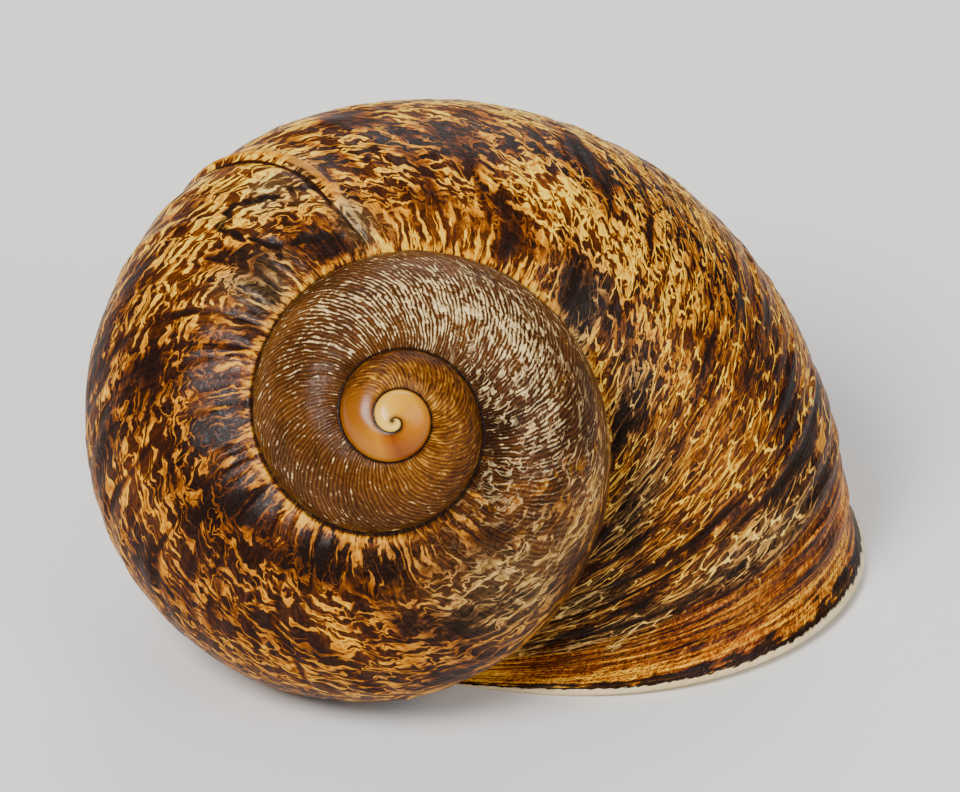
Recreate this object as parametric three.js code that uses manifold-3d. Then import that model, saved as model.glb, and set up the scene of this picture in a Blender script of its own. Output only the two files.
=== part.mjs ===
// An empty land snail shell lying on the rim of its mouth, in millimetres, +Z up.
//
// The shell is one tube of elliptical section that widens as it winds down an axis, each turn
// grown on the turn before it. It is worked out in the shell's own frame, where the axis is Z
// and the tip of the spire is the origin, and every point is then turned into the resting
// frame, where the flat rim of the mouth is the plane z = 0.
import * as THREE from "three";
import { mergeVertices } from "three/addons/utils/BufferGeometryUtils.js";
import Module from "manifold-3d";

// Growth of the tube. Turns are angles round the axis, in degrees.
const TIP_TURN = -234; // where the tube begins
const MOUTH_TURN = 1180; // where the tube's upper edge stops, just past the mouth
const WIDENING = 0.1476; // natural log of the growth in one radian
const GAUGE_TURN = 810; // the turn at which the tube is measured
const GAUGE_RADIUS = 11.83; // reach of the tube from the axis at that turn
const DROP_PER_RADIUS = 0.875; // fall of the tube's middle for each millimetre of reach

// Grown shells draw in over the last turn, then open and dip just behind the mouth.
const DRAW_IN = { share: 0.23, from: 762, to: 1018 };
const OPEN_OUT = { share: 0.09, from: 994, to: 1117 };
const SHALLOWER = { share: 0.1, from: 800, to: 1000 };
const DIP = { depth: 4.1, from: 1020, to: 1160 };

// The tube's section: half axes as shares of its reach, leaning down and out by SLOPE.
const HALF_WIDTH = 0.485;
const HALF_TOP = 0.405;
const HALF_BASE = 0.52;
const SLOPE = 0.2;

// The mouth lies in one plane, square to MOUTH_AXIS and this far from the tip.
const MOUTH_TILT = 40; // angle between the mouth's plane and the shell's axis
const MOUTH_SIDE = 91.7; // turn towards which the mouth faces
const MOUTH_REACH = 17.09;

// Walls, lip and the pillar inside.
const WALL = 0.75;
const LIP_FLARE = 0.9; // how far the lip turns outwards
const LIP_SWELL = 0.4; // share of the flare that thickens the lip inwards
const LIP_DEPTH = 2.2; // length of tube over which the lip forms
const LIP_FROM = 1000; // no lip forms before this turn
const PAST_MOUTH = 1.5; // the tube is made this much too long, then cut along the plane
const PILLAR_SHARE = 0.1; // radius of the solid pillar as a share of the reach
const PILLAR_FOOT = -21;
const PILLAR_TOP = -1.5;

// Direction towards a viewer looking at the spire, in the shell's frame.
const SPIRE_VIEW = new THREE.Vector3(-0.039, -0.0685, 1);

// Facets.
const RING_SIDES = 26;
const HOLLOW_SIDES = 20;
const FINE_STEP = 10;
const COARSE_STEP = 16;
const FINE_FROM = 700;
const HOLLOW_FROM = 716;
const STRETCH_LENGTH = 126; // most of a turn that one stretch of tube may span
const PILLAR_SIDES = 20;
const FOOT_STEPS = 4;
const MOUTH_RINGS = 11;
const HALVINGS = 30;
const SLIVER = 2e-3;
const QUARTER_TURN = 90;
const CUT_BLOCK = 90; // side of the block that takes off everything past the mouth's plane

const radians = THREE.MathUtils.degToRad;
const wasm = await Module();
wasm.setup();

function ease(turn, span) {
  const t = THREE.MathUtils.clamp((turn - span.from) / (span.to - span.from), 0, 1);
  return t * t * (3 - 2 * t);
}

function steadyReach(turn) {
  return GAUGE_RADIUS * Math.exp(WIDENING * radians(turn - GAUGE_TURN));
}

function reach(turn) {
  const change = 1 - DRAW_IN.share * ease(turn, DRAW_IN) + OPEN_OUT.share * ease(turn, OPEN_OUT);
  return steadyReach(turn) * change;
}

function middleHeight(turn) {
  const fall = DROP_PER_RADIUS * (1 - SHALLOWER.share * ease(turn, SHALLOWER));
  return -fall * steadyReach(turn) - DIP.depth * ease(turn, DIP);
}

// Outward direction of the mouth's plane, in the shell's frame.
const mouthAxis = new THREE.Vector3(
  Math.cos(radians(MOUTH_SIDE)) * Math.cos(radians(MOUTH_TILT)),
  -Math.sin(radians(MOUTH_SIDE)) * Math.cos(radians(MOUTH_TILT)),
  -Math.sin(radians(MOUTH_TILT)),
);

// The resting frame: up is away from the mouth, and a viewer of the spire looks along +Y.
const up = mouthAxis.clone().negate();
const away = SPIRE_VIEW.clone().negate();
away.addScaledVector(up, -away.dot(up)).normalize();
const right = new THREE.Vector3().crossVectors(away, up);
const toRest = new THREE.Matrix4().makeBasis(right, away, up).transpose();
toRest.premultiply(new THREE.Matrix4().makeTranslation(0, 0, MOUTH_REACH));

// Point of the tube at a turn and at an angle round its section, grown by `extra`.
function tubePoint(turn, around, extra) {
  const radius = reach(turn);
  const halfHeight = radius * (Math.sin(around) > 0 ? HALF_TOP : HALF_BASE);
  const out = radius * (1 - HALF_WIDTH) + (radius * HALF_WIDTH + extra) * Math.cos(around);
  const lean = SLOPE * (radius - out);
  const height = middleHeight(turn) + lean + (halfHeight + extra) * Math.sin(around);
  const angle = radians(turn);
  return new THREE.Vector3(out * Math.cos(angle), -out * Math.sin(angle), height);
}

// The lip turns outwards on the free side of the tube, and not at all against the axis.
function lipFlare(turn, around) {
  if (turn < LIP_FROM) return 0;
  const behind = Math.max(0, MOUTH_REACH - tubePoint(turn, around, 0).dot(mouthAxis));
  const share = Math.exp(-3 * (behind / LIP_DEPTH) ** 2);
  return LIP_FLARE * share * Math.abs(Math.cos(around / 2));
}

function outerPoint(turn, around) {
  return tubePoint(turn, around, lipFlare(turn, around));
}

function innerPoint(turn, around) {
  const flare = lipFlare(turn, around);
  return tubePoint(turn, around, flare * (1 - LIP_SWELL) - WALL);
}

// Solid of a closed geometry that is given in the resting frame.
function solidOf(geometry, mergeWithin = 1e-4) {
  const bare = geometry.clone();
  bare.deleteAttribute("normal");
  bare.deleteAttribute("uv");
  const merged = mergeVertices(bare, mergeWithin);
  const mesh = new wasm.Mesh({
    numProp: 3,
    vertProperties: merged.attributes.position.array,
    triVerts: new Uint32Array(merged.index.array),
  });
  return new wasm.Manifold(mesh);
}

// Closed stretch of tube: rings of points joined by quads, and a fan over each end.
// `at` gives the point for a share of the stretch, 0 to 1, and an angle round the section.
function tubeStretch(rings, sides, at) {
  const points = [];
  for (let i = 0; i <= rings; i++)
    for (let j = 0; j < sides; j++) points.push(at(i / rings, (2 * Math.PI * j) / sides));
  const faces = [];
  for (let i = 0; i < rings; i++)
    for (let j = 0; j < sides; j++) {
      const a = i * sides + j;
      const b = i * sides + ((j + 1) % sides);
      faces.push(a, b, a + sides, b, b + sides, a + sides);
    }
  const last = rings * sides;
  for (let j = 1; j < sides - 1; j++) {
    faces.push(0, j + 1, j);
    faces.push(last, last + j, last + j + 1);
  }
  const geometry = new THREE.BufferGeometry().setFromPoints(points).setIndex(faces);
  return solidOf(geometry.applyMatrix4(toRest));
}

// Consecutive stretches of tube between two turns, each well under a whole turn.
function stretches(from, to, step, sides, pointAt) {
  const count = Math.ceil((to - from) / STRETCH_LENGTH);
  const length = (to - from) / count;
  const made = [];
  for (let k = 0; k < count; k++) {
    const start = from + length * k;
    const at = (share, around) => pointAt(start + length * share, around);
    const solid = tubeStretch(Math.ceil(length / step), sides, at);
    made.push({ start, end: start + length, solid });
  }
  return made;
}

// The turn at which the tube passes through the mouth's plane, halved down to.
function mouthTurn(around) {
  let before = LIP_FROM;
  let after = MOUTH_TURN;
  for (let k = 0; k < HALVINGS; k++) {
    const middle = (before + after) / 2;
    if (tubePoint(middle, around, 0).dot(mouthAxis) < MOUTH_REACH) before = middle;
    else after = middle;
  }
  return after;
}

// The last stretch: its rings crowd together and tip over until they lie along the mouth's plane.
function mouthStretch(sides, past, pointAt) {
  const at = (share, around) => {
    const length = mouthTurn(around) + past - LIP_FROM;
    return pointAt(LIP_FROM + length * (1 - (1 - share) ** 2), around);
  };
  return { start: LIP_FROM, end: MOUTH_TURN, solid: tubeStretch(MOUTH_RINGS, sides, at) };
}

function joined(pieces) {
  return pieces.map((piece) => piece.solid).reduce((whole, solid) => whole.add(solid));
}

// Solid pillar round the axis, from inside the spire down to its rounded foot.
function pillar() {
  const footRadius = (PILLAR_SHARE * -PILLAR_FOOT) / DROP_PER_RADIUS;
  const profile = [];
  for (let k = 0; k <= FOOT_STEPS; k++) {
    const bend = (Math.PI / 2) * (k / FOOT_STEPS);
    const height = PILLAR_FOOT + footRadius * (1 - Math.cos(bend));
    profile.push(new THREE.Vector2(footRadius * Math.sin(bend), height));
  }
  profile.push(new THREE.Vector2(0, PILLAR_TOP));
  const lathe = new THREE.LatheGeometry(profile, PILLAR_SIDES).rotateX(Math.PI / 2);
  return solidOf(lathe.applyMatrix4(toRest));
}

// The hollow of the last turn, cut back where the turn before it bulges into the tube.
function hollow(walls) {
  const turns = stretches(HOLLOW_FROM, LIP_FROM, FINE_STEP, HOLLOW_SIDES, innerPoint);
  turns.push(mouthStretch(HOLLOW_SIDES, 2 * PAST_MOUTH, innerPoint));
  const cut = turns.map(({ start, solid }) => {
    const earlier = walls.filter((wall) => wall.end < start - QUARTER_TURN);
    return { solid: solid.subtract(joined(earlier)) };
  });
  return joined(cut);
}

function buildShell() {
  const walls = [
    ...stretches(TIP_TURN, FINE_FROM, COARSE_STEP, RING_SIDES, outerPoint),
    ...stretches(FINE_FROM, LIP_FROM, FINE_STEP, RING_SIDES, outerPoint),
    mouthStretch(RING_SIDES, PAST_MOUTH, outerPoint),
  ];
  const grown = joined(walls).subtract(hollow(walls)).add(pillar());
  const below = new THREE.BoxGeometry(CUT_BLOCK, CUT_BLOCK, CUT_BLOCK);
  return grown.subtract(solidOf(below.translate(0, 0, -CUT_BLOCK / 2)));
}

function geometryOf(solid) {
  const mesh = solid.getMesh();
  const geometry = new THREE.BufferGeometry();
  geometry.setAttribute("position", new THREE.BufferAttribute(mesh.vertProperties, 3));
  return geometry.setIndex(new THREE.BufferAttribute(mesh.triVerts, 1));
}

// Joins leave slivers with next to no volume: close vertices are merged, and the biggest
// body is kept.
function withoutSlivers(solid) {
  const bodies = solidOf(geometryOf(solid), SLIVER).decompose();
  return bodies.sort((a, b) => b.volume() - a.volume())[0];
}

const geometry = geometryOf(withoutSlivers(buildShell()));
geometry.computeBoundingBox();
const middle = geometry.boundingBox.getCenter(new THREE.Vector3());
geometry.translate(-middle.x, -middle.y, 0);
geometry.computeVertexNormals();

const shell = new THREE.Mesh(
  geometry,
  new THREE.MeshStandardMaterial({ color: 0x8a5f2e, roughness: 0.45, metalness: 0 }),
);
shell.name = "shell";

const snailShell = new THREE.Group();
snailShell.add(shell);

export default snailShell;
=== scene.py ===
# An empty land snail shell, lying on the rim of its mouth on a pale table.
import math

import bpy
import numpy as np
from mathutils import Matrix, Vector


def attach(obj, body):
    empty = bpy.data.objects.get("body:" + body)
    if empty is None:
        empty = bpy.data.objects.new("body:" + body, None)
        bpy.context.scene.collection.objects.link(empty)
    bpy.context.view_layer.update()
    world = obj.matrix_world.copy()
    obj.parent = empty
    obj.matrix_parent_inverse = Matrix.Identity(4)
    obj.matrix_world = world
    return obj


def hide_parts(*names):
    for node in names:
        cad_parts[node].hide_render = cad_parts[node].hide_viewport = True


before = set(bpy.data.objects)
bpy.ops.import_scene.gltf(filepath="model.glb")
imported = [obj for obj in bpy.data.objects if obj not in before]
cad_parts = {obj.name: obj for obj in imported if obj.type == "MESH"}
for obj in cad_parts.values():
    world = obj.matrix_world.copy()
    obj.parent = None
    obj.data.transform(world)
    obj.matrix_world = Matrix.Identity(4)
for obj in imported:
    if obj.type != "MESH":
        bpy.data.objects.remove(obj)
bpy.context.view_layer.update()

# --- Growth of the shell --------------------------------------------------------------------
# A snail lays down one tube of chalk that widens as it winds round an axis, and adds to it at
# the mouth. Lengths here are millimetres in the shell's own frame, with its axis along Z and the
# tip of the spire at the origin. Turns are degrees round the axis.
MM = 0.001
GAUGE_TURN, GAUGE_RADIUS = 810.0, 11.83  # a turn, and how far the tube's outside reaches there
WIDENING = 0.1476  # natural log of the growth in one radian
DROP_PER_RADIUS = 0.875  # fall of the tube's middle for each millimetre of reach
# Changes near the mouth, each with its first and last turn: two in shares of the reach, one in
# a share of the fall, and one in millimetres.
DRAWN_IN, OPENED = (0.23, 762, 1018), (0.09, 994, 1117)
SLOWED, DIPPED = (0.1, 800, 1000), (4.1, 1020, 1160)
HALF_WIDTH, HALF_TOP, HALF_BASE = 0.485, 0.405, 0.52  # half axes as shares of the reach
SLOPE = 0.2  # lean of the section, down and out
MOUTH_TILT, MOUTH_SIDE, MOUTH_REACH = 40.0, 91.7, 17.09  # plane of the mouth: degrees, and mm
WALL = 0.75
LIP_FLARE, LIP_DEPTH = 1.12, 1.9  # how far the lip turns out, and over what depth
LIP_SWELL = 0.4  # share of the flare that thickens the lip
LIP_FROM = 1000.0  # turn before which there is no lip


def ease(x, start, end):
    """0 before start, 1 after end, and 3t^2 - 2t^3 of the share t in between."""
    t = np.clip((x - start) / (end - start), 0.0, 1.0)
    return t * t * (3.0 - 2.0 * t)


def change(turn, amount, start, end):
    """An amount that comes in smoothly from the start turn to the end turn."""
    return amount * ease(turn, start, end)


def steady_reach(turn):
    """Gauge radius times e to the power of the widening times the turn past the gauge."""
    return GAUGE_RADIUS * np.exp(WIDENING * np.radians(turn - GAUGE_TURN))


def reach(turn):
    """Steady reach, drawn in over the last turn and opened again a little at the mouth."""
    return steady_reach(turn) * (1.0 - change(turn, *DRAWN_IN) + change(turn, *OPENED))


def middle_height(turn):
    """Height of the tube's middle: falls with the steady reach, and dips behind the mouth."""
    fall = DROP_PER_RADIUS * (1.0 - change(turn, *SLOWED))
    return -fall * steady_reach(turn) - change(turn, *DIPPED)


def spun(turn, out, height):
    """Point at a distance out from the axis and a height, swung to a turn."""
    angle = np.radians(turn)
    return np.stack([out * np.cos(angle), -out * np.sin(angle), height], axis=-1)


def section(turn, around, extra=0.0):
    """Ellipse with half axes that are shares of the reach, grown by extra, as (out, height)."""
    radius = reach(turn)
    s = np.radians(around)
    half_height = radius * np.where(np.sin(s) > 0, HALF_TOP, HALF_BASE)
    out = radius * (1.0 - HALF_WIDTH) + (radius * HALF_WIDTH + extra) * np.cos(s)
    lean = SLOPE * (radius - out)
    return out, middle_height(turn) + lean + (half_height + extra) * np.sin(s)


def tube(turn, around, extra=0.0):
    """The section's point, swung to its turn."""
    out, height = section(turn, around, extra)
    return spun(turn, out, height)


def unit(vector):
    """The vector divided by its length."""
    vector = np.asarray(vector, float)
    return vector / np.linalg.norm(vector)


side, tilt = math.radians(MOUTH_SIDE), math.radians(MOUTH_TILT)
mouth_axis = np.array([
    math.cos(side) * math.cos(tilt),
    -math.sin(side) * math.cos(tilt),
    -math.sin(tilt),
])


def behind_mouth(points):
    """Distance of points behind the plane of the mouth."""
    return MOUTH_REACH - points @ mouth_axis


def lip_flare(turn, around):
    """Lip's outward turn: a bell curve of the distance behind the mouth, none at the axis."""
    behind = np.maximum(behind_mouth(tube(turn, around)), 0.0)
    share = np.exp(-3.0 * (behind / LIP_DEPTH) ** 2) * (turn >= LIP_FROM)
    return LIP_FLARE * share * np.abs(np.cos(np.radians(around) / 2.0))


def halved(low, high, is_low, rounds=36):
    """Halves the span between two arrays until they close on where is_low turns false."""
    low, high = np.array(low, float), np.array(high, float)
    for _ in range(rounds):
        middle = (low + high) / 2.0
        keep = is_low(middle)
        low, high = np.where(keep, middle, low), np.where(keep, high, middle)
    return (low + high) / 2.0


# Where a whorl meets the whorl before it: angles round both sections, on a fine list of turns.
FIRST_SEAM, LAST_SEAM = -200.0, 1260.0
OUT_OF_BELLY, IN_BELLY = 50.0, 175.0  # angles round the section, outside and inside that whorl
seam_turns = np.arange(FIRST_SEAM, LAST_SEAM, 1.0)


def place_in_previous(turn, out, height):
    """Place in the section of the turn before, from its middle, counted in half axes."""
    before = turn - 360.0
    radius = reach(before)
    x = (out - radius * (1.0 - HALF_WIDTH)) / (radius * HALF_WIDTH)
    y = height - middle_height(before) - SLOPE * (radius - out)
    y = y / (radius * np.where(y > 0, HALF_TOP, HALF_BASE))
    return x, y


def seam_angles(turn):
    """Angles round a section and the one before of their upper meeting point, found by halving."""

    def outside(around):
        x, y = place_in_previous(turn, *section(turn, around))
        return x * x + y * y > 1.0

    own = halved(np.full_like(turn, OUT_OF_BELLY), np.full_like(turn, IN_BELLY), outside)
    x, y = place_in_previous(turn, *section(turn, own))
    return own, np.degrees(np.arctan2(y, x))


seam_own, seam_before = seam_angles(seam_turns)

# --- Outer wall -----------------------------------------------------------------------------
# The outside of the shell is one long strip that starts as a point at the tip, each turn
# joined along its seam to the turn before it. Its rows are growth lines: the edges that the
# shell had while it grew, which lag towards the outside and end as the edge of the mouth.
LEAN = 52.5  # how far a growth line lags over the width of the strip
LEAN_CURVE = 1.2  # power of the share of that width, which bends the growth line
ROWS, ROWS_PER_TURN, COLUMNS, BASE_COLUMNS = 1546, 300, 48, 34
ROW_STEP = (360.0 - LEAN) / ROWS_PER_TURN
LIP_HALF = 0.45  # half the thickness of the lip: the outer wall ends this far behind the mouth
SEAM_END = 1168.0  # turn at which the seam runs into the lip
LAST_TURN = SEAM_END - LEAN
APEX = np.array([-0.2, -0.2, -0.33])
TIP_GROWTH = 270.0  # turns in degrees over which the tip comes up to its steady size
BENDING_IN = 150  # rows over which the growth lines bend into the plane of the mouth
BASE_END = -152.0  # angle round the section at which the base runs into the pillar
FOOT_RADIUS, FOOT_TOP, FOOT_DEPTH = 2.3, -18.4, 1.2  # rounded foot of the pillar, on the axis
FOOT_SHIFT = 75.0, 1.7, -0.5  # its lowest point leans into the mouth: turn, way out, drop
FOOT_BEND = 0.72  # share of the way in at which the base bends down into the foot
FILL_FROM, FILL_LATER = 0.25, 0.37  # share at which the base leaves the tube, and more by the lip
FILL_TO, FILL_WIDER = 0.9, 0.06  # share at which it has reached the foot, and more by the lip
LIP_FOOT_DROP = 2.5  # how much lower the side of the foot is by the lip
LIP_FOOT_FROM, LIP_FOOT_TO = 190, 10  # rows before the last over which it comes to that


def mouth_turn(around):
    """Turn at which the flared tube comes within half a lip of the mouth's plane."""
    around = np.asarray(around, float)

    def short_of_it(turn):
        return behind_mouth(tube(turn, around, lip_flare(turn, around))) > LIP_HALF

    return halved(np.full_like(around, LIP_FROM), np.full_like(around, LAST_SEAM), short_of_it)


row_turns = LAST_TURN + (np.arange(ROWS + 1) - ROWS) * ROW_STEP
first_turn = row_turns[0]
across = np.linspace(0.0, 1.0, COLUMNS + 1)
lean = LEAN * (1.0 - across ** LEAN_CURVE)
seam_lower = np.interp(seam_turns, seam_turns - 360.0, seam_before)
seam_lower[seam_turns > SEAM_END - 360.0] = np.interp(SEAM_END, seam_turns, seam_before)
lower_end = seam_lower[-1]
mouth_turns = np.full(COLUMNS + 1, SEAM_END)
for _ in range(8):  # the seam's angle and the mouth's turn settle on each other
    top = np.interp(mouth_turns, seam_turns, seam_own)
    mouth_turns = np.minimum(mouth_turn(top + (lower_end - top) * across), SEAM_END)
bending = ease(np.arange(ROWS + 1), ROWS - BENDING_IN, ROWS)[:, None]
turn_grid = row_turns[:, None] + lean + bending * (mouth_turns - LAST_TURN - lean)
upper = np.interp(turn_grid, seam_turns, seam_own)
lower = np.interp(turn_grid, seam_turns, seam_lower)
around_grid = upper + (lower - upper) * across
clear_of_seam = ease(across, 0.0, 0.2)
wall_grid = tube(turn_grid, around_grid, lip_flare(turn_grid, around_grid) * clear_of_seam)
tip_share = ease(turn_grid, first_turn, first_turn + TIP_GROWTH)[..., None]
wall_grid = APEX + tip_share * (wall_grid - APEX)
wall_grid[0] = APEX
upper_half = (1.0 - ease(across, 0.0, 0.5))[:, None]
for start in range(0, ROWS + 1, ROWS_PER_TURN):  # each turn is pulled up to the one before
    rows = np.arange(start, min(start + ROWS_PER_TURN, ROWS + 1))
    seam = wall_grid[rows - ROWS_PER_TURN, -1] if start else np.broadcast_to(APEX, (len(rows), 3))
    wall_grid[rows] += (seam - wall_grid[rows, 0])[:, None] * upper_half

# The base of the last turn carries on from the strip, in to the rounded foot of the pillar.
inward = np.linspace(0.0, 1.0, BASE_COLUMNS + 1)
base_around_end = lower_end + (BASE_END - lower_end) * inward
base_lean = mouth_turn(base_around_end) - mouth_turn(lower_end)
base_rows = np.arange(ROWS - ROWS_PER_TURN, ROWS + 1)
base_turn = turn_grid[base_rows, -1:] + base_lean
base_around = around_grid[base_rows, -1:] * (1.0 - inward) + BASE_END * inward
base_out, base_height = section(base_turn, base_around, lip_flare(base_turn, base_around))
bend = np.pi / 2.0 * ease(inward, FOOT_BEND, 1.0)
by_lip = ease(base_rows, ROWS - LIP_FOOT_FROM, ROWS - LIP_FOOT_TO)[:, None]
into_foot = ease(inward, FILL_FROM + FILL_LATER * by_lip, FILL_TO + FILL_WIDER * by_lip)
foot_height = FOOT_TOP - FOOT_DEPTH * np.sin(bend) - LIP_FOOT_DROP * by_lip * (1.0 - np.sin(bend))
base_out = base_out + (FOOT_RADIUS * np.cos(bend) - base_out) * into_foot
base_height = base_height + (foot_height - base_height) * into_foot
base_grid = spun(base_turn, base_out, base_height)
base_grid += spun(*FOOT_SHIFT) * ease(inward, 0.7, 1.0)[:, None]

# --- Lip and inside wall --------------------------------------------------------------------
# The edge of the mouth is a loop: down the last growth line to the pillar's foot, and back
# over the belly of the turn before. The lip rounds over from that loop, and the smooth inside
# wall runs on from it, back into the tube, between the outer wall, the belly and the pillar.
LIP_RINGS, INSIDE_RINGS = 9, 54
INSIDE_END = 790.0  # turn at which the hollow closes
LIP_TURN_IN = 2.5  # degrees behind the mouth at which the lip is level with the inside wall
PILLAR_SHARE = 0.1 / DROP_PER_RADIUS  # radius of the pillar for each millimetre below the tip
FOOT_WALL = 1.4  # how much thicker the wall is by the pillar's foot
GLAZE = 0.08  # thickness of the smooth coat that the mouth lays over the belly
SOFTNESS = 4.0  # how sharply the inside walls meet, per millimetre
RING_CROWDING = 1.25  # power that sets the inside's rings closer together behind the lip


def round_loop(wall, base):
    """Values of the grids round the loop: down the last rows to the foot, back over the belly."""
    return np.concatenate([wall[-1], base[-1, 1:], base[0, -2:0:-1]])


foot_column = COLUMNS + BASE_COLUMNS  # place of the foot's centre in the loop
loop_around = round_loop(around_grid, base_around)
loop_turn = round_loop(turn_grid, base_turn)
loop_edge = round_loop(wall_grid, base_grid)
loop_columns = np.arange(len(loop_around))
on_belly = loop_columns > foot_column
loop_turn[on_belly] += 360.0
evened = np.convolve(np.pad(loop_turn, 9, mode="wrap"), np.hanning(21)[1:-1] / 10.0, mode="valid")
loop_turn += (evened - loop_turn) * (1.0 - ease(np.abs(loop_columns - foot_column), 5, 13))
to_foot = np.concatenate([np.zeros(COLUMNS + 1), inward[1:], inward[-2:0:-1]])


def middle_of(turn):
    """Middle of the section at a turn, as (out, height levelled by the slope)."""
    radius = reach(turn)
    return np.stack([radius * (1.0 - HALF_WIDTH), middle_height(turn) + SLOPE * radius], axis=-1)


def seen_from(middle, out, height):
    """A place counted from a section's middle, as (out, height levelled by the slope)."""
    return np.stack([out - middle[:, 0], height + SLOPE * out - middle[:, 1]], axis=-1)


def aims(turn, middle, flare):
    """Unit directions from the middle to the flared wall or the belly, turned in to the foot."""
    s = np.radians(loop_around)
    radius = reach(turn)
    half_height = radius * np.where(np.sin(s) > 0, HALF_TOP, HALF_BASE) + flare
    half_width = radius * HALF_WIDTH + flare
    wall = np.stack([half_width * np.cos(s), half_height * np.sin(s)], axis=-1)
    belly = seen_from(middle, *section(turn - 360.0, loop_around))
    foot_height = np.maximum(section(turn, BASE_END)[1], FOOT_TOP - FOOT_DEPTH / 2.0)
    foot = seen_from(middle, FOOT_RADIUS / 2.0, foot_height)
    belly = belly + (foot - belly) * ease(to_foot, 0.35, 1.0)[:, None]
    wall = wall + (foot - wall) * ease(to_foot, 0.75, 1.0)[:, None]
    aim = np.where(on_belly[:, None], belly, wall)
    return aim / np.linalg.norm(aim, axis=-1, keepdims=True)


def distance_to_wall(aim, radius, flare):
    """One over the length of the aim counted in the half axes, less the thick wall by the foot."""
    half_width = radius * HALF_WIDTH + flare
    half_height = radius * np.where(aim[:, 1] > 0, HALF_TOP, HALF_BASE) + flare
    distance = 1.0 / np.hypot(aim[:, 0] / half_width, aim[:, 1] / half_height)
    return distance - FOOT_WALL * ease(to_foot, 0.3, 0.75) * ~on_belly


def distance_to_belly(aim, turn, middle, far):
    """Nearer crossing of the glazed ellipse of the turn before: the root of a quadratic."""
    before = turn - 360.0
    start = middle - middle_of(before)
    half_axes = reach(before)[:, None] * np.array([HALF_WIDTH, HALF_BASE]) + GLAZE
    a = ((aim / half_axes) ** 2).sum(axis=-1)
    b = (start * aim / half_axes ** 2).sum(axis=-1)
    c = ((start / half_axes) ** 2).sum(axis=-1) - 1.0
    found = b * b - a * c
    return np.where((found > 0) & (b < 0), (-b - np.sqrt(np.maximum(found, 0.0))) / a, far)


def distance_to_pillar(aim, middle, far):
    """Distance to a cone round the axis, whose point is the tip of the spire."""
    cone = PILLAR_SHARE / (1.0 - PILLAR_SHARE * SLOPE)
    closing = aim[:, 0] + cone * aim[:, 1]
    distance = (middle[:, 0] + cone * middle[:, 1]) / np.maximum(-closing, 1e-6)
    return np.where(closing < -1e-3, np.minimum(distance, far), far)


def inside_point(turn):
    """From the tube's middle, the least of the distances to the wall, the belly and the pillar,
    rounded off by minus the log of the sum of e to the power of minus each of them."""
    radius, middle = reach(turn), middle_of(turn)
    flare = lip_flare(turn, loop_around) * (1.0 - LIP_SWELL) - WALL
    aim = aims(turn, middle, flare)
    far = 3.0 * radius
    distances = np.stack([
        distance_to_wall(aim, radius, flare),
        distance_to_belly(aim, turn, middle, far),
        distance_to_pillar(aim, middle, far),
    ])
    least = distances.min(axis=0)
    least = least - np.log(np.exp(-SOFTNESS * (distances - least)).sum(axis=0)) / SOFTNESS
    out, height = (middle + least[:, None] * aim).T
    return spun(turn, out, height - SLOPE * out)


# The lip rounds over in half a circle from the loop's edge, and fades out by the seam and the foot.
lip_weight = ease(loop_columns, 0, 6) * ease(foot_column - loop_columns, 0, 9)
inside_start = loop_turn - LIP_TURN_IN
lip_inner = inside_point(inside_start)
rings = []
for k in range(1, LIP_RINGS + 1):
    half_circle = math.pi * k / LIP_RINGS
    inward_share = (1.0 - math.cos(half_circle)) / 2.0
    ring = loop_edge + (lip_inner - loop_edge) * inward_share
    bulge = LIP_HALF * math.sin(half_circle) * lip_weight
    rings.append(ring + bulge[:, None] * mouth_axis)
for k in range(1, INSIDE_RINGS + 1):
    share = (k / INSIDE_RINGS) ** RING_CROWDING
    rings.append(inside_point(inside_start + (INSIDE_END - inside_start) * share))
ring_grid = np.stack(rings)

# --- One closed mesh ------------------------------------------------------------------------
# The shell has no edge or gap anywhere: outside, lip and inside are one skin of chalk. So the
# grids of the wall, the base and the inside share their vertices where they meet.


def joined_numbers():
    """Vertex numbers of each grid: a seam's row starts on the vertex of the turn before."""
    wall = np.zeros((ROWS + 1, COLUMNS + 1), int)
    fresh = 1  # vertex 0 is the tip
    for start in range(0, ROWS + 1, ROWS_PER_TURN):
        rows = np.arange(max(start, 1), min(start + ROWS_PER_TURN, ROWS + 1))
        count = len(rows) * COLUMNS
        wall[rows, 1:] = fresh + np.arange(count).reshape(-1, COLUMNS)
        fresh += count
        if start:
            wall[rows, 0] = wall[rows - ROWS_PER_TURN, -1]
    wall[ROWS_PER_TURN, 0] = 0
    base = np.zeros((len(base_rows), BASE_COLUMNS + 1), int)
    base[:, 0] = wall[base_rows, -1]
    inner = len(base_rows) * (BASE_COLUMNS - 1)
    base[:, 1:-1] = fresh + np.arange(inner).reshape(-1, BASE_COLUMNS - 1)
    fresh += inner
    base[:, -1] = fresh  # the foot's centre
    fresh += 1
    inside = fresh + np.arange(ring_grid[..., 0].size).reshape(ring_grid.shape[:2])
    fresh += inside.size
    return wall, base, np.vstack([round_loop(wall, base), inside]), fresh


wall_numbers, base_numbers, ring_numbers, closing_point = joined_numbers()
points = np.zeros((closing_point + 1, 3))
points[base_numbers] = base_grid
points[ring_numbers[1:]] = ring_grid
points[wall_numbers] = wall_grid  # after the base, which starts on the wall's last column
points[closing_point] = ring_grid[-1].mean(axis=0)


def corners(shape, closed=False):
    """Corner numbers of the quads between neighbouring rows and columns of a grid."""
    numbers = np.arange(shape[0] * shape[1]).reshape(shape)
    if closed:
        numbers = np.column_stack([numbers, numbers[:, 0]])
    a, b = numbers[:-1, :-1].ravel(), numbers[:-1, 1:].ravel()
    c, d = numbers[1:, 1:].ravel(), numbers[1:, :-1].ravel()
    return np.stack([a, d, c, b], axis=-1)


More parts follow.
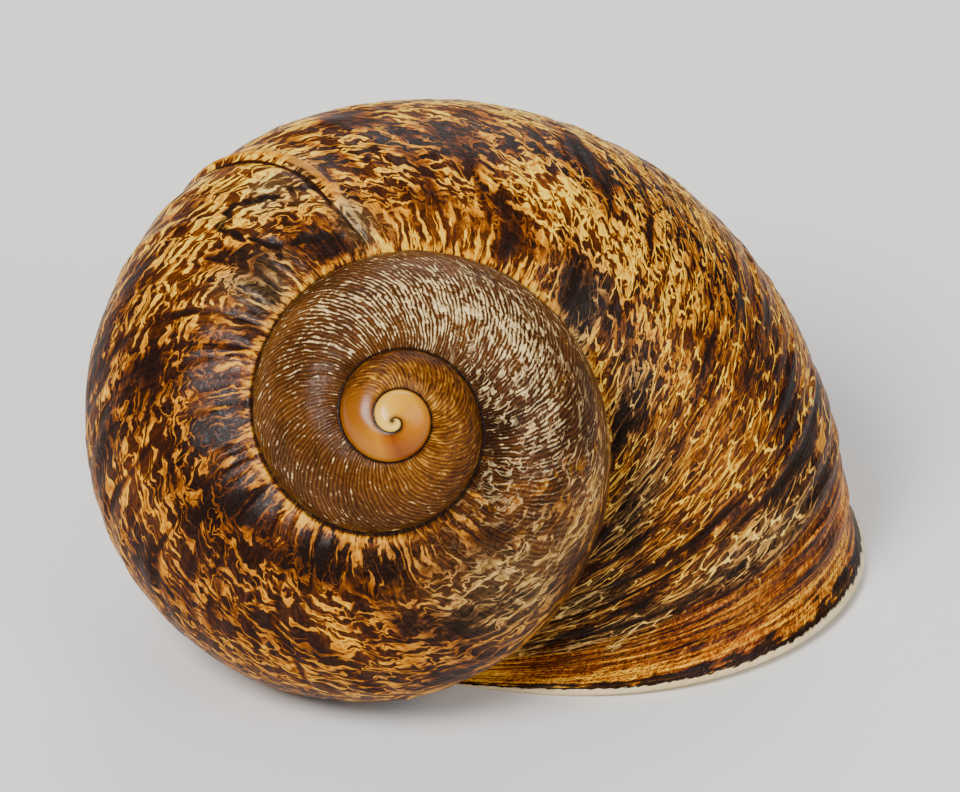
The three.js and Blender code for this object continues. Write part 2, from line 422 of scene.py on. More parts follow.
def triangles():
    """Triangles of all grids, as places in the list of every grid's points."""
    faces, start = [], 0
    for numbers, closed in ((wall_numbers, False), (base_numbers, False), (ring_numbers, True)):
        quads = corners(numbers.shape, closed) + start
        faces += [quads[:, [0, 1, 2]], quads[:, [0, 2, 3]]]
        start += numbers.size
    last = start - ring_numbers.shape[1] + np.arange(ring_numbers.shape[1])
    faces.append(np.stack([np.roll(last, -1), last, np.full_like(last, start)], axis=-1))
    return np.vstack(faces)


grid_vertex = np.concatenate([
    wall_numbers.ravel(), base_numbers.ravel(), ring_numbers.ravel(), [closing_point],
])
grid_faces = triangles()
faces = grid_vertex[grid_faces]
a, b, c = faces.T
whole = (a != b) & (b != c) & (a != c)  # the rows that start as a point leave triangles of no size
grid_faces, faces = grid_faces[whole], faces[whole]


def vertex_normals(points):
    """Sum of the normals of the faces round each vertex, made unit length."""
    a, b, c = points[faces.T]
    flat = np.cross(b - a, c - a)
    summed = np.zeros_like(points)
    for k in range(3):
        for axis in range(3):
            summed[:, axis] += np.bincount(faces[:, k], flat[:, axis], len(points))
    return summed / np.maximum(np.linalg.norm(summed, axis=1, keepdims=True), 1e-12)


def along(grid):
    """Millimetres along a grid's rows, from their first column."""
    steps = np.linalg.norm(np.diff(grid, axis=1), axis=-1)
    return np.concatenate([np.zeros((len(grid), 1)), np.cumsum(steps, axis=1)], axis=1)


# --- Growth marks in the wall ---------------------------------------------------------------
# Every halt in the growth left its mark: folds and ridges along the growth lines, one high
# rib where the shell rested and grew on, and a healed break. They are raised in the mesh.
LATTICE = 256  # cells after which the noise repeats
COARSE_FOLDS = 0.05, 1.15, 0.12  # height, and cells in a millimetre of growth and across it
FINE_FOLDS = 0.03, 2.3, 0.2
DENTS = 0.035, 0.45, 0.9
LIP_RIDGES = 0.08, 1.3, 0.1
WANDER = 0.5, 0.7, 0.3  # how far the folds stray from the growth lines
RIDGE_HEIGHT, RIDGE_PITCH = 0.016, 0.24  # the fine even ridges of the second whorl
RIB_TURN, RIB_HEIGHT, RIB_WIDTH = 932.5, 0.2, 0.36  # the high rib, where the shell rested
NOTCH_DEPTH, NOTCH_WIDTH, NOTCH_BEHIND = 0.16, 0.28, 0.62  # the notch beside that rib
HALTS = (  # turn and depth of each lesser halt
    (733.0, 0.05), (801.0, 0.07), (838.0, 0.06), (872.0, 0.05), (1040.0, 0.05), (1085.0, 0.06),
)
HALT_WIDTH, SWELL_WIDTH, SWELL_BEYOND, SWELL_SHARE = 0.22, 0.3, 0.45, 0.7  # groove, then a swell
BREAK_DEPTH, BREAK_WIDTH = 0.09, 0.2
BREAK_LINE = (  # the healed break, in growth millimetres and millimetres from the seam
    (109.0, 4.4), (107.4, 4.7), (106.2, 5.4), (105.2, 5.9), (103.9, 5.5), (103.3, 4.0),
    (103.8, 2.6), (106.0, 1.9), (108.4, 1.3),
)


def growth_at(turn):
    """Growth length at a row's turn: how far along the tube the snail had built."""
    return steady_reach(turn) / WIDENING


wall_across = along(wall_grid)
base_across = wall_across[base_rows, -1:] + along(base_grid)
wall_growth = np.broadcast_to(growth_at(row_turns)[:, None], wall_across.shape)
base_growth = np.broadcast_to(wall_growth[base_rows, :1], base_across.shape)


def cell_noise(seed, x, y):
    """Smooth noise from -1 to 1: random values on a lattice, blended between by ease."""
    table = np.random.default_rng(seed).uniform(-1.0, 1.0, (LATTICE, LATTICE))
    i, j = np.floor(x).astype(int), np.floor(y).astype(int)
    p, q = ease(x - i, 0, 1), ease(y - j, 0, 1)
    here, beyond = i % LATTICE, (i + 1) % LATTICE
    above, below = j % LATTICE, (j + 1) % LATTICE
    low = table[here, above] * (1 - p) + table[beyond, above] * p
    high = table[here, below] * (1 - p) + table[beyond, below] * p
    return low * (1 - q) + high * q


def bell(x, middle, width):
    """e to the power of minus the square of the distance from the middle, in widths."""
    return np.exp(-((x - middle) / width) ** 2)


def uneven(seed, growth, from_seam, height, per_growth, per_across):
    """A height times the noise, with so many cells in a millimetre each way."""
    return height * cell_noise(seed, growth * per_growth, from_seam * per_across)


def to_break(growth, from_seam):
    """Distance to the nearest stretch of the healed break's outline."""
    x = growth + 0.25 * cell_noise(5, growth * 1.7, from_seam * 1.7)
    y = from_seam + 0.25 * cell_noise(6, growth * 1.7, from_seam * 1.7)
    nearest = np.full(np.broadcast(x, y).shape, 1e3)
    for (x0, y0), (x1, y1) in zip(BREAK_LINE[:-1], BREAK_LINE[1:]):
        share = ((x - x0) * (x1 - x0) + (y - y0) * (y1 - y0)) / ((x1 - x0) ** 2 + (y1 - y0) ** 2)
        share = np.clip(share, 0.0, 1.0)
        nearest = np.minimum(nearest, np.hypot(x - x0 - share * (x1 - x0), y - y0 - share * (y1 - y0)))
    return nearest


def relief(turn, growth, from_seam, share):
    """Height of the growth marks over the plain wall, in millimetres."""
    size = steady_reach(turn) / GAUGE_RADIUS
    wander = uneven(1, growth, from_seam, *WANDER)
    folds = uneven(2, growth + wander, from_seam, *COARSE_FOLDS) * np.minimum(size, 1.3)
    folds += uneven(3, growth + wander, from_seam, *FINE_FOLDS) * ease(size, 0.25, 0.8)
    fine = np.sin(2.0 * np.pi * (growth + 0.12 * wander) / RIDGE_PITCH)
    folds += RIDGE_HEIGHT * fine * ease(turn, 185, 225) * (1.0 - ease(turn, 480, 620))
    folds *= ease(turn, 130, 260)
    dents = uneven(4, growth, from_seam, *DENTS) * ease(turn, 700, 800)
    rib_place = growth_at(RIB_TURN) + 0.5 * cell_noise(9, 0.0, from_seam * 0.35)
    rib = RIB_HEIGHT * bell(growth, rib_place, RIB_WIDTH)
    rib = rib - NOTCH_DEPTH * bell(growth, rib_place - NOTCH_BEHIND, NOTCH_WIDTH)
    height = folds + dents + rib * ease(share, 0.0, 0.1) * (1.0 - ease(share, 0.55, 0.95))
    fading = 1.0 - ease(share, 0.45, 0.9)
    for halt, depth in HALTS:
        middle = growth_at(halt) + 0.5 * cell_noise(10, halt, from_seam * 0.4)
        height -= depth * bell(growth, middle, HALT_WIDTH) * fading
        height += depth * SWELL_SHARE * bell(growth, middle + SWELL_BEYOND, SWELL_WIDTH) * fading
    height -= BREAK_DEPTH * bell(to_break(growth, from_seam), 0.0, BREAK_WIDTH)
    ridges = uneven(12, growth, from_seam, *LIP_RIDGES) + 0.05 * np.sin(growth * 3.1)
    return height + ridges * ease(turn, 1050, 1095) * (1.0 - ease(turn, 1108, 1115))


# The marks fade out at the seams, at the lip, and on the base towards the navel.
row_turn_grid = np.broadcast_to(row_turns[:, None], wall_across.shape)
wall_share = np.broadcast_to(across, wall_across.shape)
covered = row_turn_grid < LAST_TURN - 360.0 + LEAN
held = ease(across, 0.0, 0.08) * np.where(covered, ease(1.0 - across, 0.0, 0.08), 1.0)
held = held * (1.0 - ease(row_turn_grid, LAST_TURN - 3.0, LAST_TURN))
wall_relief = relief(row_turn_grid, wall_growth, wall_across, wall_share) * held
base_turn_grid = np.broadcast_to(row_turns[base_rows, None], base_across.shape)
base_share = np.broadcast_to(1.0 + inward, base_across.shape)
base_held = (1.0 - ease(inward, 0.4, 0.8)) * (1.0 - ease(base_turn_grid, LAST_TURN - 3.0, LAST_TURN))
base_held = base_held * ease(base_turn_grid, LAST_TURN - 360.0 + LEAN, LAST_TURN - 340.0 + LEAN)
base_relief = relief(base_turn_grid, base_growth, base_across, base_share) * base_held
raised = np.zeros(len(points))
raised[base_numbers] = base_relief
raised[wall_numbers[:, 1:]] = wall_relief[:, 1:]
points = points + vertex_normals(points) * raised[:, None]

# What the paint needs to know of each corner of a face, as four attributes of three numbers.
ring_shape = ring_numbers.shape
FAR = 9.0  # millimetres, said of a corner that has no seam below it
SCAB_WIDTH = 0.22  # how far from its line the healed break is painted, in millimetres
NAVEL_FROM, NAVEL_TO = 1.45, 1.8  # shares of the way down over which the navel's tone comes in


def on_rings(wall, base):
    """The loop's values, carried back along the inside."""
    return np.broadcast_to(round_loop(wall, base), ring_shape)


def on_corners(wall, base=0.0, ring=0.0, last=0.0):
    """Values of every grid's points, in the order of the faces' corner numbers."""
    grids = (wall, wall_across.shape), (base, base_across.shape), (ring, ring_shape), (last, (1,))
    return np.concatenate([np.broadcast_to(values, shape).ravel() for values, shape in grids])


STAINS = (  # growth mm, mm from the seam, reach along and across, strength: grey, dark, worn white
    (100.6, 1.7, 2.6, 1.3, 1.0, 0.3, 0.0),
    (107.5, 5.2, 2.0, 0.9, 0.9, 0.1, 0.0),
    (110.0, 1.9, 1.6, 1.1, 1.0, 0.0, 0.3),
    (104.0, 5.2, 0.8, 0.5, 0.0, 0.2, 0.9),
    (130.5, 1.5, 2.6, 1.4, 0.9, 0.9, 0.0),
    (140.7, 2.0, 3.2, 1.8, 0.7, 1.0, 0.0),
    (152.0, 3.0, 4.5, 2.0, 0.8, 0.6, 0.0),
    (162.0, 3.6, 3.0, 2.4, 1.0, 0.4, 0.1),
    (170.0, 5.0, 3.0, 4.5, 0.9, 0.5, 0.0),
    (168.0, 15.0, 3.0, 6.0, 0.6, 0.5, 0.0),
    (46.0, 2.3, 5.5, 1.8, 0.2, 0.0, 1.0),
    (52.5, 3.8, 5.0, 1.6, 0.1, 0.1, 0.8),
    (58.5, 2.6, 3.5, 1.5, 0.0, 0.5, 0.5),
    (66.0, 4.7, 3.6, 2.6, 0.9, 0.0, 0.5),
    (71.2, 1.2, 1.8, 1.0, 0.2, 1.2, 0.0),
    (76.0, 1.8, 2.0, 1.2, 0.1, 1.1, 0.0),
    (84.0, 2.4, 2.6, 1.2, 0.0, 0.9, 0.0),
    (90.0, 1.8, 3.0, 1.0, 0.1, 0.8, 0.0),
    (57.0, 0.8, 6.0, 0.8, 0.0, 0.9, 0.0),
)


def stains(growth, from_seam):
    """Sum of soft ragged ovals, for the grey, the dark and the worn white stain."""
    x = growth + 1.0 * cell_noise(21, growth * 0.8, from_seam * 0.8)
    y = from_seam + 0.7 * cell_noise(22, growth * 0.8, from_seam * 0.8)
    found = np.zeros(growth.shape + (3,))
    for at, off, reach_along, reach_across, *strengths in STAINS:
        oval = np.exp(-((x - at) / reach_along) ** 2 - ((y - off) / reach_across) ** 2)
        found += oval[..., None] * np.array(strengths)
    return np.clip(found, 0.0, 1.0)


ring_steps = np.arange(ring_shape[0])[:, None]
ring_growth = on_rings(wall_growth, base_growth) + 0.25 * ring_steps
wall_to_lower = np.where(covered, wall_across[:, -1:] - wall_across, FAR)
wall_stains = np.moveaxis(stains(wall_growth, wall_across), -1, 0)
base_stains = np.moveaxis(stains(base_growth, base_across), -1, 0)
wall_break = bell(to_break(wall_growth, wall_across), 0.0, SCAB_WIDTH)
painted = {
    "grain": (  # growth length and distance from the seam above in mm, and 1 on the inside
        on_corners(wall_growth, base_growth, ring_growth, ring_growth[-1, 0]),
        on_corners(wall_across, base_across, on_rings(wall_across, base_across)),
        on_corners(0.0, 0.0, np.minimum(ring_steps / 2.0, 1.0), 1.0),
    ),
    "place": (  # turn, share of the way down the strip, and mm to the seam below
        on_corners(row_turn_grid, base_turn_grid, on_rings(row_turn_grid, base_turn_grid), LAST_TURN),
        on_corners(wall_share, base_share, on_rings(wall_share, base_share)),
        on_corners(wall_to_lower, FAR, FAR, FAR),
    ),
    "stains": tuple(map(on_corners, wall_stains, base_stains)),  # grey, dark, worn white
    "marks": (  # height of the growth marks, nearness to the healed break, nearness to the navel
        on_corners(wall_relief, base_relief),
        on_corners(wall_break),
        on_corners(0.0, ease(base_share, NAVEL_FROM, NAVEL_TO)),
    ),
}

# --- Laid on its mouth ----------------------------------------------------------------------
# The shell lies with the plane of its mouth on the table, which is z = 0, and its middle over
# the origin. A viewer of the spire looks along +Y and down.
SPIRE_VIEW = unit([-0.039, -0.0685, 1.0])
up = -mouth_axis
away = unit(-SPIRE_VIEW + (SPIRE_VIEW @ up) * up)
right = np.cross(away, up)
to_rest = np.stack([right, away, up])


def resting(points):
    """Points turned so that the mouth faces down, and lifted until its plane is at z = 0."""
    return points @ to_rest.T + np.array([0.0, 0.0, MOUTH_REACH])


laid = resting(points)
laid[:, 2] = np.maximum(laid[:, 2], 0.0)  # the rounded lip rests on the table and not in it
box_middle = (laid.min(axis=0) + laid.max(axis=0)) / 2.0 * np.array([1.0, 1.0, 0.0])
laid -= box_middle

mesh = bpy.data.meshes.new("snail_shell")
mesh.from_pydata(laid * MM, [], faces.tolist())
for name, values in painted.items():
    layer = mesh.attributes.new(name, "FLOAT_VECTOR", "CORNER")
    values = np.stack(values, axis=-1)
    layer.data.foreach_set("vector", values[grid_faces].astype(np.float32).ravel())
mesh.polygons.foreach_set("use_smooth", np.ones(len(mesh.polygons), bool))
shell = bpy.data.objects.new("snail_shell", mesh)
bpy.context.collection.objects.link(shell)
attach(shell, "root")
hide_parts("shell")

# --- Colours of the shell -------------------------------------------------------------------
# The outer skin is horn brown, with flecks and nets of cream that show through it. The skin is
# worn to chalky threads on the middle whorls and is thin over the glossy, amber first whorl.


class Wire:
    """A socket of a material's nodes: a sum or product of wires adds the Math nodes for it."""

    def __init__(self, tree, socket=None):
        self.tree = tree
        self.socket = socket

    def node(self, kind, settings, links, output=0):
        """A new node of a type: its settings first, then the values or wires of its sockets."""
        made = self.tree.nodes.new("ShaderNode" + kind)
        stops = settings.pop("stops", ())
        for name, value in settings.items():
            setattr(made, name, value)
        for place, colour in stops[1:-1]:
            made.color_ramp.elements.new(place).color = (*colour, 1.0)
        for end in (0, -1)[:len(stops)]:
            made.color_ramp.elements[end].position = stops[end][0]
            made.color_ramp.elements[end].color = (*stops[end][1], 1.0)
        for name, value in links.items():
            if isinstance(value, Wire):
                self.tree.links.new(value.socket, made.inputs[name])
            else:
                made.inputs[name].default_value = value
        return Wire(self.tree, made.outputs[output])

    def maths(self, operation, *values):
        """The result of a Math node on one or two values."""
        return self.node("Math", {"operation": operation}, dict(enumerate(values)))

    def __add__(self, other):
        return self.maths("ADD", self, other)

    def __sub__(self, other):
        return self.maths("SUBTRACT", self, other)

    def __rsub__(self, other):
        return self.maths("SUBTRACT", other, self)

    def __mul__(self, other):
        return self.maths("MULTIPLY", self, other)

    __radd__ = __add__
    __rmul__ = __mul__


def colour(red, green, blue):
    """Linear values of a colour given as screen values from 0 to 255."""
    return tuple(float(((value / 255.0 + 0.055) / 1.055) ** 2.4) for value in (red, green, blue))


skin = bpy.data.materials.new("snail_shell")
skin.use_nodes = True
surface = skin.node_tree.nodes["Principled BSDF"]
nodes = Wire(skin.node_tree)


def attribute(name):
    """The three numbers of an attribute, each as its own wire."""
    found = nodes.node("Attribute", {"attribute_name": name}, {}, "Vector")
    return [nodes.node("SeparateXYZ", {}, {0: found}, axis) for axis in "XYZ"]


def noise(x, y, seed, detail=2.0, rough=0.5):
    """Cloudy noise from 0 to 1 at a place, whose cells are one unit wide."""
    at = nodes.node("CombineXYZ", {}, {0: x + 17.3 * seed, 1: y})
    values = {"Vector": at, "Scale": 1.0, "Detail": detail, "Roughness": rough}
    return nodes.node("TexNoise", {"noise_dimensions": "2D"}, values)


def cells(x, y, feature):
    """Distance to the middle or to the edge of random cells that are one unit wide."""
    at = nodes.node("CombineXYZ", {}, {0: x, 1: y})
    settings = {"voronoi_dimensions": "2D", "feature": feature}
    return nodes.node("TexVoronoi", settings, {"Vector": at, "Scale": 1.0}, "Distance")


def step(value, low, high):
    """Rises smoothly from 0 at low to 1 at high, or falls where high is the smaller."""
    if low > high:
        return 1.0 - step(value, high, low)
    limits = {"Value": value, "From Min": low, "From Max": high}
    return nodes.node("MapRange", {"interpolation_type": "SMOOTHSTEP"}, limits)


def band(value, middle, width):
    """1 at the middle and 0 beyond a width on either side."""
    return step(nodes.maths("ABSOLUTE", value - middle), width, 0.0)


def mixed(share, first, second):
    """The first colour, with a share of the second in it."""
    second = (*second, 1.0) if isinstance(second, tuple) else second
    return nodes.node("Mix", {"data_type": "RGBA"}, {0: share, 6: first, 7: second}, 2)


def painted_by(value, *stops):
    """A colour from a ramp of stops, each a place from 0 to 1 and a colour for the screen."""
    return nodes.node("ValToRGB", {"stops": [(at, colour(*tint)) for at, tint in stops]}, {0: value})


def higher(first, second):
    """The larger of two values."""
    return nodes.maths("MAXIMUM", first, second)


EDGE_GROWTH = float(wall_growth[-1, 0])  # growth length at the edge of the lip
SMOOTH_UNTIL = 215.0, 150.0  # turns over which the smooth first whorl gives way, the later first
GOLD_UNTIL = 470.0, 330.0  # the same for the golden second whorl
WORN_UNTIL = 672.0, 762.0  # turns over which the flecked skin takes over from the worn whorls
THREAD_WAVE = 25.0  # radians of the thread wave in a millimetre of growth
TIP_SPAN = 600.0  # degrees that the ramp of the tip's colours covers
BUMP_HEIGHT = 0.07  # millimetres, of grain that is finer than the mesh
AMBER_FROM, TORN_FROM, BARE_FROM = (7.5, 4.6), (1.05, 0.7), (0.34, 0.2)  # mm from the lip's edge
growth, from_seam, inner = attribute("grain")
turn, share_down, to_lower = attribute("place")
grey_stain, dark_stain, worn_stain = attribute("stains")
swell, break_line, navel = attribute("marks")

# Cream flecks drawn out along the whorl, nets of them, and threads along the growth lines.
push_along = noise(growth * 0.8, from_seam * 0.8, 1, 2.0) - 0.5
push_across = noise(growth * 0.9, from_seam * 0.9, 2, 2.0) - 0.5
x = growth + 1.2 * push_along
y = from_seam + 0.9 * push_across
patches = noise(growth * 0.22, from_seam * 0.28, 3, 3.0)
rough_grain = noise(growth * 2.6, from_seam * 2.6, 14, 2.0) - 0.5
young = step(growth, 108.0, 90.0)
wider = 1.0 + 0.15 * young - 0.17 * step(growth, 104.0, 150.0)
long_flecks = noise(x * 0.75 + 0.3 * rough_grain, y * 2.7 * wider + 0.3 * growth, 4, 1.5)
long_flecks = long_flecks - 0.03 * young
long_flecks = step(long_flecks, 0.49, 0.6) - 0.4 * step(long_flecks, 0.63, 0.76)
net = nodes.maths("ABSOLUTE", noise(x * 0.8, y * 1.5 + 0.3 * growth, 5, 2.0) - 0.5)
net = step(net, 0.055, 0.0) * step(noise(x * 0.4, y * 0.5, 6), 0.36, 0.52)
threads = noise(x * 2.6, y * 0.55 + 0.3 * growth + 0.5 * rough_grain, 7, 2.0)
threads = step(threads, 0.49, 0.65)
near_seam = step(from_seam + 3.0 * (noise(growth * 0.5, from_seam * 0.2, 8) - 0.5), 3.6, 1.2)
near_lip = step(growth + 16.0 * push_across - 0.7 * from_seam, 132.0, 152.0)
along_lines = higher(near_seam, 0.8 * near_lip)
flecks = higher(long_flecks * (1.0 - 0.9 * along_lines), threads * along_lines)
flecks = higher(flecks, net * (1.0 - 0.6 * along_lines))
edges = cells(x * 0.8 + 0.35 * rough_grain, y * 0.85 + 0.2 * growth, "DISTANCE_TO_EDGE")
edges = step(edges, 0.1, 0.03) * step(growth + 12.0 * patches, 124.0, 136.0)
edges = edges * step(noise(x * 0.7, y * 0.9, 18), 0.42, 0.54)
flecks = higher(0.85 * flecks, edges)
fine_grain = noise(x * 3.0, y * 6.0, 9, 3.0, 0.65)
lines = noise(growth * 3.2 + 0.7 * push_along, from_seam * 0.18, 10, 3.0, 0.6)

# Lightness of the skin: painted light on one stretch, painted shade on another, a dark band, the flecks, the
# grain and the stains.
middle_of_band = 5.6 + 0.0029 * (growth - 100.0) * (growth - 100.0)
dark_band = band(from_seam + 2.0 * push_across, middle_of_band, 2.6)
dark_band = dark_band * step(growth, 108.0, 116.0) * step(growth, 172.0, 160.0)
# Painted light: one stretch of the last whorl is made paler, and a band round 80 mm of growth is darker as
# painted shade.
painted_light_stretch = step(growth, 98.0, 110.0) * step(growth, 140.0, 122.0) * step(from_seam, 3.0, 6.0)
painted_shade_stretch = band(growth, 80.0, 15.0)
lightness = 0.12 + 0.11 * painted_light_stretch - 0.025 * painted_shade_stretch + 0.5 * (patches - 0.45) + 0.12 * navel
lightness = lightness + (0.68 - 0.1 * young) * flecks * step(patches, 0.2, 0.45)
lightness = lightness + 0.3 * (fine_grain - 0.5) + 0.3 * (lines - 0.5) + 0.1 * rough_grain
lightness = lightness - 0.26 * dark_band * (1.0 - 0.5 * flecks)
lightness = lightness - 0.33 * dark_stain * (1.0 - 0.5 * flecks)

# Halts in growth left brown lines, the high rib a gold crest, and the seam a strip of cream.
rib = step(swell, 0.07, 0.14) * step(growth, 103.0, 108.0) * step(growth, 117.0, 114.0)
groove = step(swell, -0.035, -0.09)
lightness = lightness * (1.0 - 0.7 * rib) + 0.46 * rib
lightness = lightness * (1.0 - 0.85 * groove)
ragged = noise(growth * 1.1, from_seam * 0.6, 17, 3.0, 0.7)
seam_strip = band(from_seam + 0.6 * rough_grain, 0.35, 0.5) * step(ragged, 0.42, 0.55)
seam_strip = seam_strip * step(turn, 700.0, 780.0)
lightness = lightness * (1.0 - 0.8 * seam_strip) + 0.62 * seam_strip
body = painted_by(
    lightness,
    (0.0, (24, 8, 0)), (0.12, (46, 17, 0)), (0.27, (84, 38, 0)), (0.44, (138, 73, 0)),
    (0.62, (208, 132, 0)), (0.85, (255, 210, 64)),
)
dulled = painted_by(lightness, (0.0, (30, 18, 8)), (0.3, (96, 74, 42)), (0.8, (232, 204, 130)))
body = mixed(grey_stain * 0.75, body, dulled)
scab = step(break_line + 0.8 * rough_grain, 0.35, 0.6)
body = mixed(scab * 0.85, body, colour(24, 10, 2))

# Worn middle whorls: thin brown skin with chalky broken threads on the growth lines.
sway = noise(growth * 2.0, from_seam, 11)
thread_wave = nodes.maths("SINE", THREAD_WAVE * growth + 10.0 * push_along + 5.0 * sway)
broken = noise(x * 2.6, y * 2.0, 12, 3.0, 0.65)
worn = worn_stain + 0.15 * step(noise(growth * 0.5, from_seam * 0.7, 13), 0.45, 0.7)
chalk = 0.55 * thread_wave + 4.6 * (broken - 0.5) + 1.05 * worn
chalk = step(chalk, 0.82, 1.55)
chalk = higher(chalk, 0.9 * net * step(turn, 600.0, 650.0) * step(broken, 0.42, 0.56))
brown_skin = painted_by(
    0.5 + 0.9 * (patches - 0.5) + 0.16 * thread_wave + 0.6 * (fine_grain - 0.5) - 0.4 * dark_stain,
    (0.1, (32, 13, 0)), (0.5, (80, 43, 10)), (0.9, (132, 82, 32)),
)
chalk_tone = painted_by(
    0.5 + 1.5 * (fine_grain - 0.5) + 0.8 * (patches - 0.5),
    (0.2, (182, 146, 88)), (0.7, (252, 222, 160)),
)
middle_whorls = mixed(chalk, brown_skin, chalk_tone)
late = step(turn + 200.0 * (broken - 0.5), *WORN_UNTIL)
pattern = mixed(late, middle_whorls, body)

# Second whorl: golden brown with fine light ridges, darker toward its lower edge.
gold_ridges = painted_by(
    0.27 + 0.16 * thread_wave + 1.4 * (broken - 0.5) + 0.24 * (1.0 - 2.0 * share_down),
    (0.0, (60, 26, 0)), (0.4, (116, 64, 8)), (0.75, (190, 130, 40)), (1.0, (250, 208, 116)),
)
pattern = mixed(step(turn + 60.0 * (patches - 0.5), *GOLD_UNTIL), pattern, gold_ridges)

# First whorl: smooth and translucent, cream at the tip and amber further on.
tip = painted_by(
    (turn + 30.0 * push_along) * (1.0 / TIP_SPAN) + 0.5,
    (0.0, (246, 204, 92)), (0.24, (222, 166, 52)), (0.36, (206, 142, 30)), (0.48, (184, 110, 8)),
    (0.59, (134, 62, 0)), (0.65, (182, 114, 16)), (0.74, (142, 80, 4)), (0.9, (112, 58, 0)),
)
pattern = mixed(step(turn + 40.0 * push_across, *SMOOTH_UNTIL), pattern, tip)

# Painted shade: the earlier whorls are darkened on both sides of the seam, and a dark line of painted shadow
# runs in the seam itself.
seam_width = 0.05 + 0.1 * step(turn, 300.0, 900.0) + 0.12 * rough_grain
# painted shade on both sides of the seam's groove
painted_groove_shade = higher(step(from_seam, 0.34, 0.05), step(to_lower, 0.3, 0.05))
pattern = mixed(painted_groove_shade * 0.6 * (1.0 - inner) * step(turn, 900.0, 500.0), pattern, colour(84, 40, 2))
# painted shadow: a dark line in the seam itself
painted_seam_shadow = higher(step(from_seam - seam_width, 0.1, 0.0), step(to_lower - 0.8 * seam_width, 0.16, 0.0))
pattern = mixed(painted_seam_shadow * 0.9 * (1.0 - inner), pattern, colour(28, 11, 0))

# The lip: amber skin with black specks, a black torn edge of skin, then the bare white rim.
to_edge = EDGE_GROWTH - growth
wavering = to_edge + 0.7 * rough_grain + 2.4 * push_across
amber = painted_by(
    0.42 + 1.1 * (fine_grain - 0.5) + 1.8 * (lines - 0.5) + 0.5 * (patches - 0.5)
    + 0.25 * band(wavering, 1.8, 1.0) + 0.34 * step(from_seam, 6.0, 1.5),
    (0.1, (32, 9, 0)), (0.4, (108, 46, 0)), (0.6, (184, 98, 0)), (0.9, (255, 186, 46)),
)
pattern = mixed(step(wavering + 4.0 * (patches - 0.5), *AMBER_FROM) * 0.9, pattern, amber)
specks = step(cells(growth * 4.5, from_seam * 4.5, "F1"), 0.34, 0.16) * step(patches + fine_grain, 0.9, 1.05)
pattern = mixed(specks * step(wavering, 5.0, 3.0) * 0.9, pattern, colour(20, 6, 0))
torn = step(wavering + 1.6 * (lines - 0.5), *TORN_FROM)
pattern = mixed(torn * 0.93, pattern, colour(20, 7, 1))
rim = higher(step(inner + 0.2 * rough_grain, 0.12, 0.3), step(to_edge + 0.4 * rough_grain, *BARE_FROM))
porcelain = painted_by(0.5 + 0.8 * (patches - 0.5), (0.2, (222, 190, 130)), (0.8, (250, 232, 190)))
pattern = mixed(rim, pattern, porcelain)

# Gloss and fine bumps: the first whorl is glossy, the worn whorls and the seams are dull.
surface.inputs["Specular IOR Level"].default_value = 0.06
surface.inputs["Coat Roughness"].default_value = 0.22
gloss = 0.42 + 0.2 * (fine_grain - 0.5) + 0.25 * chalk * step(turn, 760.0, 640.0) + 0.3 * painted_seam_shadow
gloss = gloss - 0.2 * step(turn, 230.0, 150.0) - 0.12 * rim
height = 0.5 * long_flecks * step(turn, 640.0, 760.0) + 0.25 * fine_grain + 0.7 * lines
height = height + 0.3 * thread_wave * step(turn, 720.0, 600.0)
height = height * step(turn, 140.0, 260.0) * (1.0 - 0.9 * inner)
links = skin.node_tree.links
links.new(pattern.socket, surface.inputs["Base Color"])
links.new(gloss.socket, surface.inputs["Roughness"])
varnish = 0.07 + 0.25 * step(turn, 240.0, 150.0) + 0.15 * step(fine_grain, 0.5, 0.7)
links.new(varnish.socket, surface.inputs["Coat Weight"])
carved = nodes.node("Bump", {}, {"Height": height, "Distance": BUMP_HEIGHT * MM, "Strength": 1.0})
links.new(carved.socket, surface.inputs["Normal"])
mesh.materials.append(skin)

# --- Table, light and camera ----------------------------------------------------------------
# A pale plain table, big soft lights round it, and a long lens that looks down on the spire.
VIEW_WIDTH = 41.47  # millimetres across the view
LENS, SENSOR = 900.0, 36.0
AIM_RIGHT, AIM_UP, AIM_DEPTH = 3.54, 0.825, 15.0  # the view's middle, from the tip of the spire
TABLE_HALF = 1.5

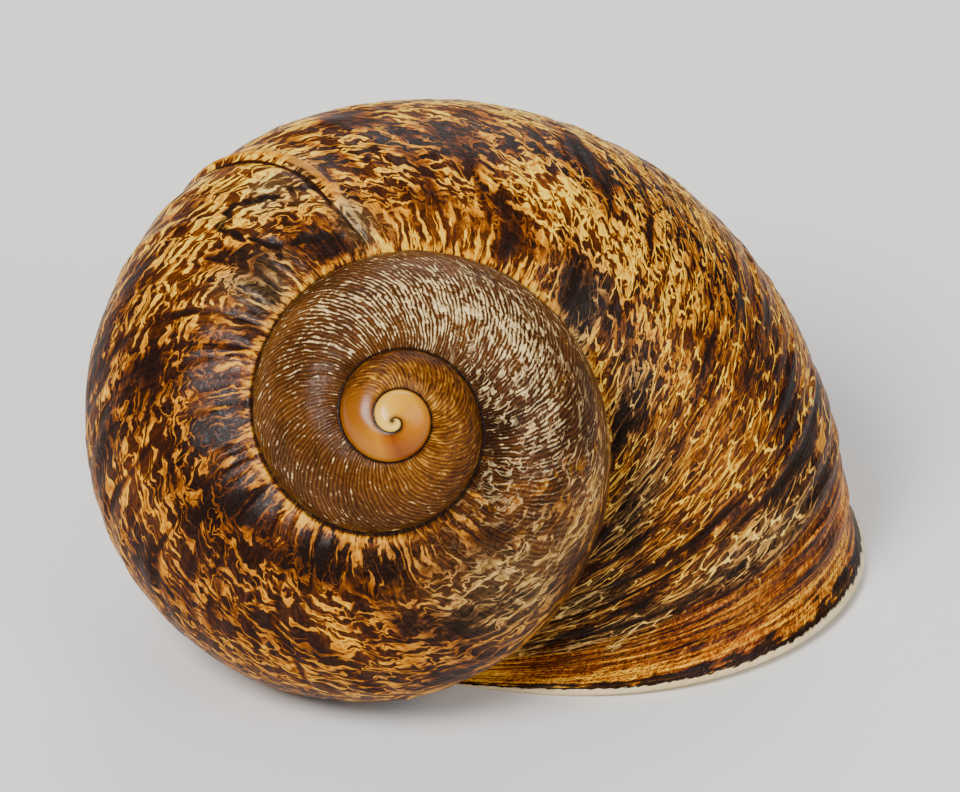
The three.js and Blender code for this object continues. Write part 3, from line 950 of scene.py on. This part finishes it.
table_mesh = bpy.data.meshes.new("table")
table_corners = TABLE_HALF * np.array([(-1, -1, 0), (1, -1, 0), (1, 1, 0), (-1, 1, 0)])
table_mesh.from_pydata(table_corners, [], [(0, 1, 2, 3)])
table = bpy.data.objects.new("table", table_mesh)
bpy.context.collection.objects.link(table)
pale = bpy.data.materials.new("pale_table")
pale.use_nodes = True
table_surface = pale.node_tree.nodes["Principled BSDF"]
table_surface.inputs["Base Color"].default_value = (0.8, 0.79, 0.77, 1)
table_surface.inputs["Roughness"].default_value = 0.7
table_mesh.materials.append(pale)

view_right = unit(np.array([1.0, 0, 0]) - SPIRE_VIEW[0] * SPIRE_VIEW)
view_up = np.cross(SPIRE_VIEW, view_right)
aim = AIM_RIGHT * view_right + AIM_UP * view_up - AIM_DEPTH * SPIRE_VIEW
distance = VIEW_WIDTH * LENS / SENSOR
eye = (resting(aim + distance * SPIRE_VIEW) - box_middle) * MM
axes = np.stack([to_rest @ view_right, to_rest @ view_up, to_rest @ SPIRE_VIEW], axis=1)
lens = bpy.data.cameras.new("camera")
lens.lens, lens.sensor_width, lens.clip_end = LENS, SENSOR, 10.0
camera = bpy.data.objects.new("camera", lens)
camera.matrix_world = Matrix.Translation(eye) @ Matrix(axes.tolist()).to_4x4()
bpy.context.collection.objects.link(camera)
bpy.context.scene.camera = camera


def soft_light(name, place_at, size, watts):
    """Square light of a size in metres, aimed at the shell."""
    lamp = bpy.data.lights.new(name, "AREA")
    lamp.size, lamp.energy = size, watts
    light = bpy.data.objects.new(name, lamp)
    light.location = place_at
    light.rotation_euler = Vector(place_at).to_track_quat("Z", "Y").to_euler()
    bpy.context.collection.objects.link(light)


soft_light("key", (-0.25, -0.30, 0.45), 0.25, 4.7)
soft_light("fill", (0.40, -0.25, 0.30), 0.35, 1.4)
soft_light("back", (0.05, 0.45, 0.35), 0.35, 1.7)
sky = bpy.data.worlds.new("sky")
sky.use_nodes = True
background = sky.node_tree.nodes["Background"]
background.inputs["Color"].default_value = (0.9, 0.88, 0.85, 1)
background.inputs["Strength"].default_value = 0.37
bpy.context.scene.world = sky
